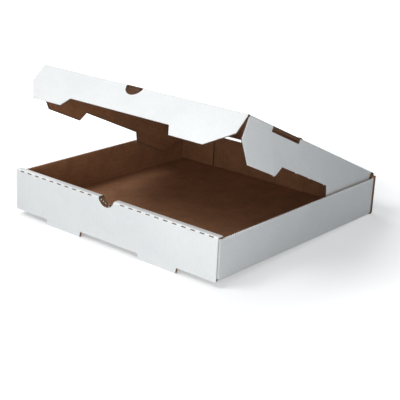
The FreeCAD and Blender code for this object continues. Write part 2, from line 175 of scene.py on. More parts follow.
@dataclass(frozen=True)
class Paper:
    """A paper as it comes off the machine, with the flutes under it showing through a little."""

    name: str
    light: str
    dark: str
    fleck: str
    roughness: float
    cloud: float  # mm, size of the cloudy patches
    fibre: float  # mm, length of a fibre or clump
    relief: float  # mm, depth of the fibre texture
    board_marks: float  # mm, height of the flute lines that show through
    line_tint: float  # how much darker the glue lines are
    flecks: float  # share of dark fibres
    stretch: float = 0.25  # fibres are four times as long along the flutes as across
    fleck_fineness: float = 1.6

    def make(self, across: Vector) -> bpy.types.Material:
        """Build the material for panels whose flutes repeat along one direction.

        Args:
            across: Unit vector across the flutes, in the box's frame.

        Returns:
            The material, made once for each direction.
        """
        label = "_".join(f"{round(part * 100):d}" for part in across)
        name = f"{self.name}_{label}".replace("-", "n")
        found = bpy.data.materials.get(name)
        if found:
            return found
        material = bpy.data.materials.new(name)
        tree = bare_tree(material)
        node = partial(add_node, tree)
        place = node("TexCoord", {}, "Object")
        lines = self.glue_lines(tree, place, across)
        spin = across.rotation_difference(X).to_euler()
        turned = node("Mapping", {"Vector": place, "Rotation": spin})
        drawn = node("Mapping", {"Vector": turned, "Scale": (1, self.stretch, self.stretch)})
        clouds = node("TexNoise", {"Vector": place, "Scale": 1 / (self.cloud * MM), "Detail": 5.0,
                                   "Roughness": 0.6}, "Fac")
        grain = node("TexNoise", {"Vector": drawn, "Scale": 1 / (self.fibre * MM), "Detail": 4.0,
                                  "Roughness": 0.7}, "Fac")
        specks = node("TexNoise", {"Vector": drawn, "Scale": self.fleck_fineness / (self.fibre * MM),
                                   "Detail": 1.0}, "Fac")
        spread = node("Math", {0: clouds, 1: grain}, operation="ADD")
        share = node("MapRange", {"Value": spread, "From Min": 0.75, "From Max": 1.25})
        tint = node("Math", {0: lines, 1: self.line_tint}, operation="MULTIPLY")
        # Only the highest peaks of the noise become flecks, so they are small and far apart.
        dots = node("MapRange", {"Value": specks, "From Min": 0.69, "From Max": 0.76, "To Max": self.flecks})
        colour = linear(self.light)
        for factor, other in ((share, self.dark), (tint, self.fleck), (dots, self.fleck)):
            colour = node("Mix", {"Factor": factor, 6: colour, 7: linear(other)}, 2, data_type="RGBA")
        marks = node("Bump", {"Height": lines, "Distance": self.board_marks * MM, "Strength": 1.0})
        nap = node("Bump", {"Height": grain, "Distance": self.relief * MM, "Strength": 1.0, "Normal": marks})
        shader = node("BsdfPrincipled", {"Base Color": colour, "Normal": nap, "Roughness": self.roughness})
        node("OutputMaterial", {"Surface": shader})
        return material

    def glue_lines(self, tree: bpy.types.NodeTree, place: bpy.types.NodeSocket,
                   across: Vector) -> bpy.types.NodeSocket:
        """Lines where the flute tips are glued under the paper.

        Args:
            tree: Node tree of the material.
            place: Object coordinates.
            across: Unit vector across the flutes.

        Returns:
            A socket that swings from 0 to 1 once in each flute.
        """
        node = partial(add_node, tree)
        reach = node("VectorMath", {0: place, 1: across}, "Value", operation="DOT_PRODUCT")
        phase = node("Math", {0: reach, 1: 2 * math.pi / (BOARD.pitch * MM)}, operation="MULTIPLY")
        swing = node("Math", {0: phase}, operation="SINE")
        return node("MapRange", {"Value": swing, "From Min": -1.0, "From Max": 1.0})


# White top liner: kraft with a matt clay coating, so it is smooth, even and only faintly ridged.
CLAY_COATED_LINER = Paper("clay_coated_liner", "#EDEEED", "#E4E6E6", "#C9CBCA", roughness=0.5, cloud=60,
                          fibre=1.2, relief=0.02, board_marks=0.02, line_tint=0.025, flecks=0.10)
# Unbleached kraft liner: long fibres, cloudy formation, dark flecks and no gloss.
KRAFT_LINER = Paper("unbleached_kraft_liner", "#AA7B57", "#8E6344", "#5E3D29", roughness=0.85, cloud=25,
                    fibre=2.0, relief=0.05, board_marks=0.05, line_tint=0.08, flecks=0.35)
# Fluting medium and cut edges: coarser recycled fibre, torn a little by the die.
FLUTING_PAPER = Paper("fluting_medium", "#97745A", "#6E5139", "#4A3323", roughness=0.9, cloud=6,
                      fibre=0.8, relief=0.08, board_marks=0.0, line_tint=0.0, flecks=0.4)
CUT_EDGE = Paper("die_cut_edge", "#7C6450", "#5F4A3A", "#3F2F24", roughness=0.9, cloud=5,
                 fibre=0.6, relief=0.08, board_marks=0.0, line_tint=0.0, flecks=0.3)
FACES = {Ply.OUTER: CLAY_COATED_LINER, Ply.INNER: KRAFT_LINER, Ply.FLUTING: FLUTING_PAPER}
EDGES = {Ply.OUTER: CUT_EDGE, Ply.INNER: CUT_EDGE, Ply.FLUTING: FLUTING_PAPER}


def choose(*pieces: Mesh) -> None:
    """Select only these objects and make the first one active, or select none.

    Args:
        *pieces: Objects to select.
    """
    for piece in list(bpy.context.selected_objects):
        piece.select_set(False)
    for piece in pieces:
        piece.select_set(True)
    if pieces:
        bpy.context.view_layer.objects.active = pieces[0]


def added(name: str, add: Callable[..., object], **settings: object) -> bpy.types.Object:
    """Add an object with one of Blender's operators.

    Args:
        name: Name of the object.
        add: The operator.
        **settings: Its settings.

    Returns:
        The new object, which is active.
    """
    choose()
    add(**settings)
    piece = bpy.context.object
    piece.name = name
    return piece


def finish_with(piece: Mesh, kind: str, **settings: object) -> None:
    """Add a modifier and apply it.

    Args:
        piece: Mesh object.
        kind: Type name of the modifier.
        **settings: Its properties.
    """
    choose(piece)
    modifier = piece.modifiers.new(kind.title(), kind)
    for key, value in settings.items():
        setattr(modifier, key, value)
    bpy.ops.object.modifier_apply(modifier=modifier.name)


def smooth(piece: Mesh, degrees: float = 40) -> None:
    """Shade a mesh smooth, apart from the edges that are sharper than an angle."""
    choose(piece)
    bpy.ops.object.shade_smooth_by_angle(angle=math.radians(degrees))


def join(name: str, pieces: Sequence[Mesh]) -> Mesh:
    """Join meshes into one object.

    Args:
        name: Name of the joined object.
        pieces: Objects to join.

    Returns:
        The joined object.
    """
    choose(*pieces)
    if len(pieces) > 1:
        bpy.ops.object.join()
    joined = bpy.context.object
    joined.name = name
    joined.data.name = name
    return joined


def seat(piece: Mesh, place: Matrix) -> None:
    """Put a mesh drawn in millimetres in its place, in metres, with its object at the origin."""
    piece.data.transform(Matrix.Scale(MM, 4) @ place)
    piece.data.update()


def prism(name: str, outline: Sequence[Pair], low: float, high: float) -> Mesh:
    """Solid of an outline: a ring of vertices laid on its corners, filled and extruded.

    Args:
        name: Name of the object.
        outline: Corners in order.
        low: Height of the lower face.
        high: Height of the upper face.

    Returns:
        The closed mesh, in millimetres.
    """
    solid = added(name, bpy.ops.mesh.primitive_circle_add, vertices=len(outline), radius=1,
                  fill_type="NGON")
    for vertex, corner in zip(solid.data.vertices, outline):
        vertex.co = (corner[0], corner[1], low)
    bpy.ops.object.mode_set(mode="EDIT")
    bpy.ops.mesh.select_all(action="SELECT")
    bpy.ops.mesh.extrude_region_move(TRANSFORM_OT_translate={"value": (0, 0, high - low)})
    bpy.ops.mesh.select_all(action="SELECT")
    bpy.ops.mesh.normals_make_consistent(inside=False)
    bpy.ops.object.mode_set(mode="OBJECT")
    return solid


def punch(name: str, centre: Pair, low: float, high: float) -> Mesh:
    """Round punch of the finger openings, along the local Z axis.

    Args:
        name: Name of the object.
        centre: Place of its axis.
        low: Lower end.
        high: Upper end.

    Returns:
        The cylinder, in millimetres.
    """
    tool = added(name, bpy.ops.mesh.primitive_cylinder_add, vertices=64, radius=GRIP.radius,
                 depth=high - low, location=(*centre, (low + high) / 2))
    bpy.ops.object.transform_apply(location=True, rotation=True, scale=True)
    return tool


def block(first: Sequence[float], second: Sequence[float]) -> Mesh:
    """Box shaped cutter between two opposite corners, in millimetres."""
    (left, right), (near, far), (low, high) = [sorted(ends) for ends in zip(first, second)]
    return prism("cutter", [(left, near), (right, near), (right, far), (left, far)], low, high)


def cut(piece: Mesh, tools: Sequence[Mesh], keep: bool = False) -> None:
    """Cut tools out of a piece, or keep only what lies in the one tool.

    Args:
        piece: Mesh to cut.
        tools: Cutters, which stay for the next piece.
        keep: Keep the inside of the tool in place of the outside.
    """
    for tool in tools:
        tool.data.materials.clear()
        for slot in piece.data.materials:
            tool.data.materials.append(slot)
        edge = max(0, len(piece.data.materials) - 1)
        for polygon in tool.data.polygons:
            polygon.material_index = edge
        finish_with(piece, "BOOLEAN", object=tool, operation="INTERSECT" if keep else "DIFFERENCE",
                    solver="MANIFOLD")


def drop(tools: Iterable[Mesh]) -> None:
    """Delete cutters that have done their work.

    Args:
        tools: Objects to delete.
    """
    for tool in tools:
        mesh = tool.data
        bpy.data.objects.remove(tool)
        bpy.data.meshes.remove(mesh)


def give_papers(piece: Mesh, ply: Ply, across: Vector) -> None:
    """Give a piece two materials: the face of its paper, and the raw paper of its back and cut edges.

    Args:
        piece: Mesh object.
        ply: Which paper of the board it is.
        across: Direction across the flutes.
    """
    piece.data.materials.clear()
    piece.data.materials.append(FACES[ply].make(across))
    piece.data.materials.append(EDGES[ply].make(across))


def dress(piece: Mesh, ply: Ply, across: Vector, face: Vector) -> None:
    """Give a flat ply its papers: the liner's own face, and raw paper on its back and cut edges.

    Args:
        piece: Mesh in its place.
        ply: Which paper of the board it is.
        across: Direction across the flutes.
        face: Direction that the board's white face looks in.
    """
    give_papers(piece, ply, across)
    shown = face if ply is Ply.OUTER else -face
    for polygon in piece.data.polygons:
        polygon.material_index = 0 if polygon.normal.dot(shown) > FACING else 1


def torn_bit(name: str, ply: Ply, outline: Sequence[Pair], thickness: float, place: Matrix) -> Plies:
    """Shred of paper that the die tore and left standing at a cut edge.

    Args:
        name: Name of the object.
        ply: Which paper it is of.
        outline: Its corners.
        thickness: Its thickness.
        place: Placement of its plane.

    Returns:
        The shred by its ply.
    """
    piece = prism(name, outline, -thickness / 2, thickness / 2)
    seat(piece, place)
    dress(piece, ply, X, X)
    return {ply: piece}


def as_pairs(points: Iterable[Vector]) -> list[Pair]:
    """Turn vectors to plain pairs."""
    return [(point.x, point.y) for point in points]


def bends(points: Sequence[Pair]) -> list[tuple[Vector, Vector, Vector]]:
    """Inner corners of an open line.

    Args:
        points: Corners of the line.

    Returns:
        Each inner corner, with its directions back and ahead along the line.
    """
    line = [Vector(point) for point in points]
    return [(corner, (before - corner).normalized(), (after - corner).normalized())
            for before, corner, after in zip(line, line[1:], line[2:])]


def rounded(points: Sequence[Pair], radius: float, steps: int = 8) -> list[Pair]:
    """Open line of straight runs with its inner corners rounded.

    Args:
        points: Corners of the line.
        radius: Radius of each corner.
        steps: Straight steps in each arc.

    Returns:
        Points of the rounded line.
    """
    found = [Vector(points[0])]
    for corner, back, ahead in bends(points):
        half = back.angle(ahead) / 2
        run = radius / math.tan(half)
        centre = corner + (back + ahead).normalized() * radius / math.sin(half)
        first = corner + back * run - centre
        last = corner + ahead * run - centre
        turn = first.angle(last)
        for step in range(steps + 1):
            share = step / steps
            mix = first * math.sin((1 - share) * turn) + last * math.sin(share * turn)
            found.append(centre + mix / math.sin(turn))
    return as_pairs(found + [Vector(points[-1])])


def inset(points: Sequence[Pair], depth: float) -> list[Pair]:
    """Line that runs beside another one, to its left, with mitred corners.

    Args:
        points: Corners of the line.
        depth: Distance between the lines.

    Returns:
        Corners of the new line.
    """
    line = [Vector(point) for point in points]
    sides = [(after - before).normalized() for before, after in zip(line, line[1:])]
    normals = [Vector((-side.y, side.x)) for side in sides]
    found = [line[0] + normals[0] * depth]
    for corner, left, right in zip(line[1:-1], normals, normals[1:]):
        found.append(corner + (left + right) * depth / (1 + left.dot(right)))
    return as_pairs(found + [line[-1] + normals[-1] * depth])


def scored(points: Sequence[Pair], reach: float = 0.9, depth: float = 0.7, flat: float = 0.1) -> list[Pair]:
    """Open line with a pressed groove in each inner corner, as a creasing rule leaves it.

    Args:
        points: Corners of the line.
        reach: Distance from the corner to each side of the groove.
        depth: Depth of the groove.
        flat: Half the width of its bottom.

    Returns:
        Points of the scored line.
    """
    found = [Vector(points[0])]
    for corner, back, ahead in bends(points):
        bottom = corner - (back + ahead).normalized() * depth
        found += [corner + back * reach, bottom + back * flat, bottom + ahead * flat, corner + ahead * reach]
    return as_pairs(found + [Vector(points[-1])])


def crushed(points: Sequence[Pair], radius: float, fade: float = 2.5, shortest: float = 5.5,
            left: float = 0.15) -> tuple[list[Pair], list[float]]:
    """Rounded line, and how much of its flutes is left at each point: they are flat in the folds.

    Args:
        points: Corners of the line.
        radius: Radius of each corner.
        fade: Distance from a fold to where the flutes are whole.
        shortest: Length of the shortest side that has whole flutes.
        left: Share of the flutes' height that is left in a fold.

    Returns:
        Points of the line and the share of the flutes' height at each.
    """
    line = [Vector(point) for point in rounded(points, radius)]
    places = [line[0]]
    shares = [1.0]
    for before, after in zip(line, line[1:]):
        way = (after - before).normalized()
        if (after - before).length > shortest:
            shares[-1] = 1.0 if len(places) == 1 else left
            places += [before + way * fade, after - way * fade]
            shares += [1.0, 1.0]
        places.append(after)
        shares.append(left)
    shares[-1] = 1.0
    return as_pairs(places), shares


def curl(gap: float, reach: float, depth: float) -> float:
    """How far a paper is pressed over at a gap from its edge: by the depth there, and not past the reach."""
    return depth * (1 - math.sqrt(1 - (1 - gap / reach) ** 2)) if gap < reach else 0.0


def lay_sheet(name: str, profile: Sequence[Pair], runs: Sequence[float],
              place: Callable[[Pair, float], Vector], shift: Callable[[int, float], float]) -> Mesh:
    """Thin sheet from a grid: a column on each point of a profile and a row on each place of a run.

    Args:
        name: Name of the object.
        profile: Points of the section.
        runs: Places along the extrusion.
        place: Turns a profile point and a run to a point of the box's frame, in millimetres.
        shift: Offset to the left of the profile at a column and a run.

    Returns:
        The sheet, in millimetres.
    """
    sheet = added(name, bpy.ops.mesh.primitive_grid_add, x_subdivisions=len(profile) - 1,
                  y_subdivisions=max(1, len(runs) - 1), size=2)
    line = [Vector(point) for point in profile]
    ways = [(after - before).normalized() for before, after in zip(line[:1] + line, line[1:] + line[-1:])]
    for number, vertex in enumerate(sheet.data.vertices):
        row, column = divmod(number, len(line))
        side = Vector((-ways[column].y, ways[column].x))
        point = line[column] + side * shift(column, runs[row])
        vertex.co = place((point.x, point.y), runs[row])
    return sheet


def flip(piece: Mesh) -> None:
    """Turn the faces of a mesh round.

    Args:
        piece: Mesh object.
    """
    choose(piece)
    bpy.ops.object.mode_set(mode="EDIT")
    bpy.ops.mesh.select_all(action="SELECT")
    bpy.ops.mesh.flip_normals()
    bpy.ops.object.mode_set(mode="OBJECT")


def across_box(point: Pair, run: float) -> Vector:
    """Place of a point of the front or rear wall's section, which is seen from the right."""
    return Vector((run, *point))


@dataclass
class Fold:
    """A run of board folded along parallel creases, with its three plies."""

    name: str
    points: Sequence[Pair]  # outer face of the board, with the board on its left
    radius: float  # of the outer face at each fold
    span: Pair  # along the creases
    place: Callable[[Pair, float], Vector]
    across: Vector
    raw_ends: tuple[bool, bool] = (False, False)  # ends of the span that the cutting rule crushed
    teeth: bool = False
    mirrored: bool = False  # the placement turns left to right, which turns the faces round
    flute_margin: float = 0.7  # from a crushed end to the first flute
    crush_reach: float = 5.0
    crushed_flute: float = 0.2  # share of a flute's height that is left at a crushed end
    tightest: float = 0.3  # radius of the fluting in a sharp fold

    def edge_gap(self, run: float) -> float:
        """Distance from a place on the run to the nearest crushed end."""
        gaps = [abs(run - end) for end, raw in zip(self.span, self.raw_ends) if raw]
        return min(gaps, default=math.inf)

    def rows(self) -> list[float]:
        """Places along the creases, close together where a crushed edge curls in.

        Returns:
            Places from one end to the other.
        """
        steps = (0.0, 0.12, 0.35, 0.7, 1.1, 1.5, 2.5, 5.0)
        near = [self.span[0] + step for step in steps] if self.raw_ends[0] else [self.span[0]]
        far = [self.span[1] - step for step in reversed(steps)] if self.raw_ends[1] else [self.span[1]]
        return near + far

    def columns(self) -> list[Pair]:
        """Points of the outer face, close together on the long side where its edge has teeth.

        Returns:
            Points of the section.
        """
        line = rounded(self.points, self.radius)
        if not self.teeth:
            return line
        found = [line[0]]
        for before, after in zip(line, line[1:]):
            gap = math.dist(before, after)
            count = max(1, round(gap / TEETH.pitch * TEETH.steps)) if gap > TEETH.shortest_side else 1
            way = Vector(after) - Vector(before)
            found += as_pairs(Vector(before) + way * step / count for step in range(1, count + 1))
        return found

    def ply(self, ply: Ply) -> Mesh:
        """Make one paper of the folded run.

        Args:
            ply: Which paper.

        Returns:
            The closed mesh in its place, in millimetres.
        """
        runs = self.rows()
        shares = []
        if ply is Ply.OUTER:
            profile = self.columns()
        elif ply is Ply.INNER:
            profile = scored(inset(self.points, BOARD.thickness))
        else:
            radius = max(self.radius - BOARD.half, self.tightest)
            profile, shares = crushed(inset(self.points, BOARD.half), radius)
            ends = zip(self.span, (1, -1), self.raw_ends)
            runs = BOARD.samples(*[end + self.flute_margin * way * raw for end, way, raw in ends])
        # Reach and depth of the curl: the white liner is pressed over, the other papers are crushed out.
        reach, depth = {Ply.OUTER: (1.5, 1.1), Ply.INNER: (self.crush_reach, -1.6),
                        Ply.FLUTING: (self.crush_reach, -0.9)}[ply]

        def shift(column: int, run: float) -> float:
            """Curl of the paper at a crushed end, and its flutes, which are flattened there."""
            gap = self.edge_gap(run)
            moved = curl(gap, reach, depth)
            if ply is Ply.FLUTING:
                whole = min(1.0, self.crushed_flute + gap / self.crush_reach)
                moved += BOARD.wave(run) * shares[column] * whole
            return moved

        sheet = lay_sheet(f"{self.name}_{ply.value}", profile, runs, self.place, shift)
        if self.mirrored:
            flip(sheet)
        give_papers(sheet, ply, self.across)
        side = {Ply.OUTER: -1.0, Ply.INNER: 1.0, Ply.FLUTING: 0.0}[ply]
        paper = BOARD.medium if ply is Ply.FLUTING else BOARD.liner
        # The grid's own face is the white face of an outer liner and the back of an inner one.
        finish_with(sheet, "SOLIDIFY", thickness=paper, offset=side,
                    material_offset=1 if ply is Ply.OUTER else 0, material_offset_rim=1)
        return sheet

    def build(self, cutters: Callable[[], list[Mesh]] = list) -> Plies:
        """Make the three plies and cut them with the same tools.

        Args:
            cutters: Makes the cutters, in millimetres.

        Returns:
            The plies by kind.
        """
        tools = cutters()
        found = {}
        for ply in Ply:
            sheet = self.ply(ply)
            cut(sheet, tools)
            seat(sheet, Matrix())
            smooth(sheet)
            found[ply] = sheet
        drop(tools)
        return found


@dataclass
class Panel:
    """A flat die cut panel with its three plies, drawn in its own frame with its white face up."""

    name: str
    outline: Sequence[Pair]
    place: Matrix
    inner_outline: Sequence[Pair] | None = None
    is_free: Callable[[Vector], bool] = lambda middle: False  # whether an edge was cut by the rule
    nicks: Sequence[tuple[int, float]] = ()  # edge of the outline and distance along it of each tuft
    rim: float = 1.0  # depth that the white liner is pressed down at a free edge
    rim_radius: float = 0.75
    liner_setback: float = 1.1  # of the brown liner at a free edge
    flute_setback: float = 1.0

    def build(self, cutters: Callable[[], list[Mesh]] = list,
              outer_cutters: Callable[[], list[Mesh]] = list) -> Plies:
        """Make the three plies.

        Args:
            cutters: Makes the tools that go through the whole board.
            outer_cutters: Makes the tools that only cut the white liner.

        Returns:
            The plies by kind.
        """
        inner = self.inner_outline or self.outline
        half = BOARD.half
        tools = cutters()
        shallow = outer_cutters()
        outer = prism(f"{self.name}_outer", self.tufted(), half - self.rim, half)
        self.press_rim(outer)
        liner = self.shrink(inner, self.liner_setback)
        plies = {
            Ply.OUTER: outer,
            Ply.INNER: prism(f"{self.name}_inner", liner, -half, BOARD.liner - half),
            Ply.FLUTING: self.corrugate(self.shrink(inner, self.flute_setback)),
        }
        across = (self.place.to_3x3() @ X).normalized()
        face = (self.place.to_3x3() @ Z).normalized()
        for ply, piece in plies.items():
            cut(piece, tools + (shallow if ply is Ply.OUTER else []))
            seat(piece, self.place)
            dress(piece, ply, across, face)
            smooth(piece)
        drop(tools + shallow)
        return plies

    def tufted(self) -> list[Pair]:
        """Outline with a torn fibre tuft at each place where the blank hung in its sheet.

        Returns:
            Corners of the outline.
        """
        tuft = ((-0.9, 0), (-0.6, 0.9), (0.1, 0.6), (0.5, 1.2), (0.9, 0))
        found = []
        line = [Vector(corner) for corner in self.outline]
        for number, (corner, after) in enumerate(zip(line, line[1:] + line[:1])):
            found.append(corner)
            way = (after - corner).normalized()
            out = Vector((way.y, -way.x))
            for edge, reach in self.nicks:
                if edge == number:
                    found += [corner + way * (reach + along) + out * rise for along, rise in tuft]
        return as_pairs(found)

    def shrink(self, outline: Sequence[Pair], depth: float) -> list[Pair]:
        """Outline with its free edges moved in.

        Args:
            outline: Corners of the panel.
            depth: Distance to move them.

        Returns:
            Corners of the smaller outline.
        """
        line = [Vector(corner) for corner in outline]
        sides = []
        for corner, after in zip(line, line[1:] + line[:1]):
            way = (after - corner).normalized()
            move = Vector((-way.y, way.x)) * (depth if self.is_free((corner + after) / 2) else 0.0)
            sides.append((corner + move, way))
        found = []
        for (place, way), (before, other) in zip(sides, sides[-1:] + sides[:-1]):
            turn = other.x * way.y - other.y * way.x
            gap = place - before
            found.append(before + other * ((gap.x * way.y - gap.y * way.x) / turn))
        return as_pairs(found)

    def press_rim(self, piece: Mesh) -> None:
        """Round the white liner down at the free edges, as the cutting rule leaves it.

        Args:
            piece: Prism of the outer liner.
        """
        mesh = piece.data
        choose(piece)
        bpy.ops.object.mode_set(mode="EDIT")
        bpy.ops.mesh.select_mode(type="EDGE")
        bpy.ops.mesh.select_all(action="DESELECT")
        bpy.ops.object.mode_set(mode="OBJECT")
        for edge in mesh.edges:
            first, last = [mesh.vertices[number].co for number in edge.vertices]
            middle = (first + last) / 2
            edge.select = middle.z > BOARD.half - LEVEL and self.is_free(middle.xy)
        if any(edge.select for edge in mesh.edges):
            bpy.ops.object.mode_set(mode="EDIT")
            bpy.ops.mesh.bevel(offset=self.rim_radius, segments=3, affect="EDGES")
            bpy.ops.object.mode_set(mode="OBJECT")

    def corrugate(self, outline: Sequence[Pair]) -> Mesh:
        """Corrugated medium of the panel, cut to its outline.

        Args:
            outline: Corners of the panel.

        Returns:
            The closed mesh, in millimetres.
        """
        (left, near), (right, far) = [[bound(ends) for ends in zip(*outline)] for bound in (min, max)]
        spare = 1.0
        sheet = lay_sheet(f"{self.name}_fluting", [(near - spare, 0.0), (far + spare, 0.0)],
                          BOARD.samples(left - spare, right + spare),
                          lambda point, run: Vector((run, *point)), lambda column, run: BOARD.wave(run))
        finish_with(sheet, "SOLIDIFY", thickness=BOARD.medium, offset=0.0, use_even_offset=True)
        die = prism("die", outline, -BOARD.half, BOARD.half)
        cut(sheet, [die], keep=True)
        drop([die])
        return sheet


def carry(body: str, node: str, *groups: Plies) -> None:
    """Join the plies of one sub-assembly, and let them ride and stand for their CAD node.

    Args:
        body: CAD body that they ride on.
        node: CAD node that they stand for.
        *groups: Plies of each of its panels.
    """
    for ply in Ply:
        whole = join(f"{node}_{ply.value}", [group[ply] for group in groups if ply in group])
        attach(whole, body)
        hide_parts(node)
        log.info("%s: %d faces", whole.name, len(whole.data.polygons))


@dataclass(frozen=True)
class Grip:
    """Half round finger notch of the front wall and finger hole of the lid, in millimetres."""

    radius: float = 12.35
    depth: float = 9.9
    offset: float = -4.5

    def centre(self, edge: float) -> Pair:
        """Centre of the arc, across and up the panel, for the height of the edge that it opens into."""
        return self.offset, edge - self.depth + self.radius

    def ends(self, margin: float = 0.0) -> Pair:
        """Where the arc meets its edge, at the left and right, with both ends moved in by a margin."""
        half = math.sqrt(2 * self.radius * self.depth - self.depth ** 2) - margin
        return self.offset - half, self.offset + half


@dataclass(frozen=True)
class Vent:
    """Vent slot that is cut beside a crease, in millimetres."""

    inset: float = 50.5
    length: float = 58.5
    drop: float = 5.2


@dataclass(frozen=True)
class Perforation:
    """Cutting rule of a perforated fold, in millimetres."""

    pitch: float = 12.7
    length: float = 6.3
    width: float = 1.1
    depth: float = 1.3
    margin: float = 8.0  # from the end of the fold to the first cut

    def cuts(self, start: float, length: float, gap: Pair) -> list[Pair]:
        """Cuts along a fold, apart from those that would meet an opening.

        Args:
            start: Where the fold begins.
            length: Length of the fold.
            gap: Ends of the opening.

        Returns:
            Both ends of each cut.
        """
        count = 1 + int((length - 2 * self.margin) / self.pitch)
        lows = [start + self.margin + self.pitch * number for number in range(count)]
        return [(low, low + self.length) for low in lows if low >= gap[1] or low + self.length <= gap[0]]


GRIP = Grip()
VENT = Vent()
PERFORATION = Perforation()


@dataclass
class Tray:
    """Folded tray, locked at the front by the rolled over wall."""

    half_width: float = 156.0
    half_depth: float = 156.0
    floor: float = 6.8
    side_top: float = 54.3
    front_top: float = 57.3
    crease: float = 57.8
    shoulder: float = 55.8
    neck: float = 152.7
    fold_radius: float = 2.4
    fold_land: float = 0.4  # flat strip beyond a bottom fold
    roll_radius: float = 2.2
    gap: float = 0.2
    tab_reach: float = 56.0
    tab_low: float = 10.4
    tab_high: float = 53.4
    foot_out: float = 102.0
    foot_in: float = 45.0
    foot_lean: float = 1.6
    lock_clearance: float = 0.8
    setback: float = 1.79
    seam: float = 6.0  # flat strip of floor that each folded wall brings with it
    spare: float = 5.0  # how far a cutter reaches past the board
    slack: float = 1.0  # the same, where another panel is near
    perforation_drop: float = 0.4  # of the roll's radius, from its top to the perforation
    tab_root: float = 1.2  # from a corner tab's fold to where its edges are cut
    fuzz_count: int = 22
    fuzz_start: float = 196.0  # degrees round the finger notch
    fuzz_step: float = 7.0

    @property
    def layers(self) -> float:
        """Depth of the front wall: outer panel, corner tab and inner panel."""
        return 3 * BOARD.thickness + 2 * self.gap

    @property
    def side_half(self) -> float:
        """Half the length of a side wall, between the front and rear walls."""
        return self.half_depth - BOARD.thickness - self.gap

    def build(self) -> None:
        """Make every panel of the tray and join their plies."""
        parts = [self.floor_panel(), self.front_wall(), self.rear_wall(), *self.notch_fuzz()]
        for side in (-1, 1):
            parts.append(self.side_wall(side))
            parts.append(self.side_fold(side))
        carry("tray", "tray", *parts)

    def floor_panel(self) -> Plies:
        """Flat floor between the folds of the walls.

        Returns:
            Its plies.
        """
        side = self.half_width - self.seam
        front = BOARD.thickness - self.half_depth
        rear = self.half_depth - self.seam
        outline = [(side, front), (side, rear), (-side, rear), (-side, front)]
        place = Matrix.Translation((0, 0, self.floor + BOARD.half)) @ Matrix.Rotation(math.pi, 4, "Y")

        def slots() -> list[Mesh]:
            """Slots that the feet leave behind the front wall."""
            back = self.layers - self.half_depth + self.gap
            return [block((side * self.foot_out, front - self.slack, -BOARD.thickness),
                          (side * self.foot_in, back, BOARD.thickness))
                    for side in (-1, 1)]

        return Panel("floor", outline, place).build(slots)

    def front_wall(self) -> Plies:
        """Outer panel on its feet, roll over the corner tabs, and inner panel with its lock tabs.

        Returns:
            Its plies.
        """
        back = self.layers - self.half_depth
        points = [(back, self.floor), (back, self.front_top), (-self.half_depth, self.front_top),
                  (-self.half_depth, 0.0)]
        fold = Fold("front_wall", points, self.roll_radius, (-self.half_width, self.half_width),
                    across_box, X, raw_ends=(True, True))
        return fold.build(self.front_cutters)

    def front_cutters(self) -> list[Mesh]:
        """Die of the front wall: feet, lock tabs, ends of the inner panel, finger notch and perforation.

        Returns:
            Cutters in the box's frame, in millimetres.
        """
        far = self.half_width + self.spare
        foot_in = self.foot_in + self.foot_lean
        foot_out = self.foot_out - self.foot_lean
        outlines = [[(-self.foot_in, self.floor), (-foot_in, 0), (-foot_in, -self.spare),
                     (foot_in, -self.spare), (foot_in, 0), (self.foot_in, self.floor)]]
        for side in (-1, 1):
            corners = ((far, self.floor), (self.foot_out, self.floor), (foot_out, 0),
                       (foot_out, -self.spare), (far, -self.spare))
            outlines.append([(side * out, height) for out, height in corners])
        reach = BOARD.thickness + self.slack
        upright = [prism("feet", outline, self.half_depth - reach, self.half_depth + reach)
                   for outline in outlines]
        upright.append(punch("notch", GRIP.centre(self.front_top),
                             self.half_depth - self.layers - BOARD.thickness,
                             self.half_depth + BOARD.thickness))
        for tool in upright:
            tool.data.transform(UPRIGHT)
        low = BOARD.thickness * 1.5 - self.half_depth + self.gap
        high = self.layers - self.half_depth + self.slack
        bottom = self.floor - self.slack
        panel_low = self.floor + BOARD.thickness + self.gap
        panel_high = self.front_top - BOARD.thickness
        lock_out = self.foot_out - self.lock_clearance
        lock_in = self.foot_in + self.lock_clearance
        edge = self.half_width - BOARD.thickness - self.gap
        tools = [block((left, low, bottom), (right, high, panel_low))
                 for left, right in ((-far, -lock_out), (-lock_in, lock_in), (lock_out, far))]
        tools += [block((side * edge, low, bottom), (side * far, high, panel_high)) for side in (-1, 1)]
        top = self.front_top - self.perforation_drop * self.roll_radius
        notch = (GRIP.offset - GRIP.radius, GRIP.offset + GRIP.radius)
        for left, right in PERFORATION.cuts(-self.half_width, 2 * self.half_width, notch):
            tools.append(block((left, -self.half_depth - self.slack, top - PERFORATION.width),
                               (right, -self.half_depth + PERFORATION.depth, top)))
        return upright + tools

    def notch_fuzz(self) -> list[Plies]:
        """Torn fibre that stands in from the cut edge of the finger notch.

        Returns:
            The torn bits by ply.
        """
        centre = Vector(GRIP.centre(self.front_top))
        depths = (155.7, 153.1, 151.3, 149.9, 147.0)  # of the five liners that the notch cuts
        kinds = (Ply.OUTER, Ply.FLUTING, Ply.OUTER, Ply.INNER)
        found = []
        for number in range(self.fuzz_count):
            angle = math.radians(self.fuzz_start + self.fuzz_step * number)
            out = Vector((math.cos(angle), math.sin(angle)))
            way = Vector((-out.y, out.x))
            foot = centre + out * (GRIP.radius + 0.3)
            # Width and height change from bit to bit, in a row that is the same in each run.
            wide = way * (0.7 + 0.25 * (number * 5 % 4))
            tip = out * (0.7 + 0.3 * (number * 7 % 5))
            outline = as_pairs((foot - wide, foot + wide, foot - tip + way * 0.3,
                                foot - tip * 0.8 - way * 0.4))
            place = Matrix.Translation((0, -depths[number * 3 % 5], 0)) @ UPRIGHT
            bit = torn_bit(f"fuzz_{number}", kinds[number % 4], outline, 0.5, place)
            for ply, piece in bit.items():
                if ply is Ply.OUTER:
                    piece.data.materials[1] = piece.data.materials[0]
            found.append(bit)
        return found

